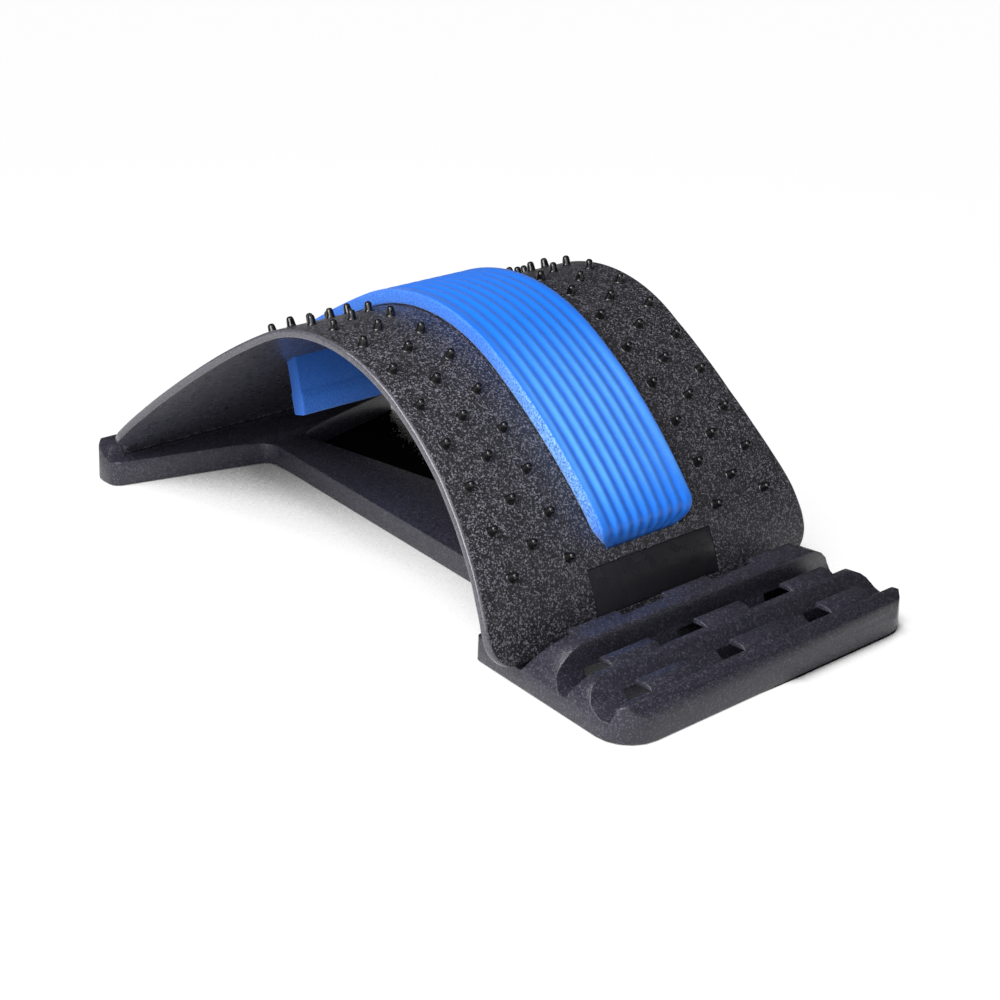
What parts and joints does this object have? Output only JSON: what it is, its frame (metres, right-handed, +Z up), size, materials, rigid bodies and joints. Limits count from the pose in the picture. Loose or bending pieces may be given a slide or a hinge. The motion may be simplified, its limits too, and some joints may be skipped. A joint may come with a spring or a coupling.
{
  "type": "lumbar back stretcher",
  "caption": "Arched lumbar back stretcher: hinged dark plate with pressure nubs and a ribbed blue foam pad, over a flat base with notches for the plate's edge.",
  "frame": {"origin": "on the floor below the middle of the base, which is the bottom centre of the whole part's box", "axes": "+Y towards the hinge bar, along the part's length; -Y towards the notched block; +X across; +Z up"},
  "size_m": [0.201, 0.4, 0.1323],
  "materials": {
    "base_plastic": "satin moulded polypropylene, dark blue grey",
    "plate_plastic": "finely grained moulded ABS, charcoal",
    "foam": "ribbed blue EVA foam, matte",
    "label_plastic": "smooth black film, bare",
    "foot_rubber": "matte black"
  },
  "bodies": {
    "base": {"base_frame": "base_plastic", "foot_front_left": "foot_rubber", "foot_front_right": "foot_rubber", "foot_rear_left": "foot_rubber", "foot_rear_right": "foot_rubber"},
    "arch": {"arch_plate": "plate_plastic", "lumbar_pad": "foam", "label_plate": "label_plastic"}
  },
  "joints": [
    {"name": "arch_hinge", "type": "hinge", "parent": "base", "child": "arch", "pos_m": [0, 0.187, 0.0143], "axis": [-1, 0, 0], "range_deg": [0, 70]}
  ]
}
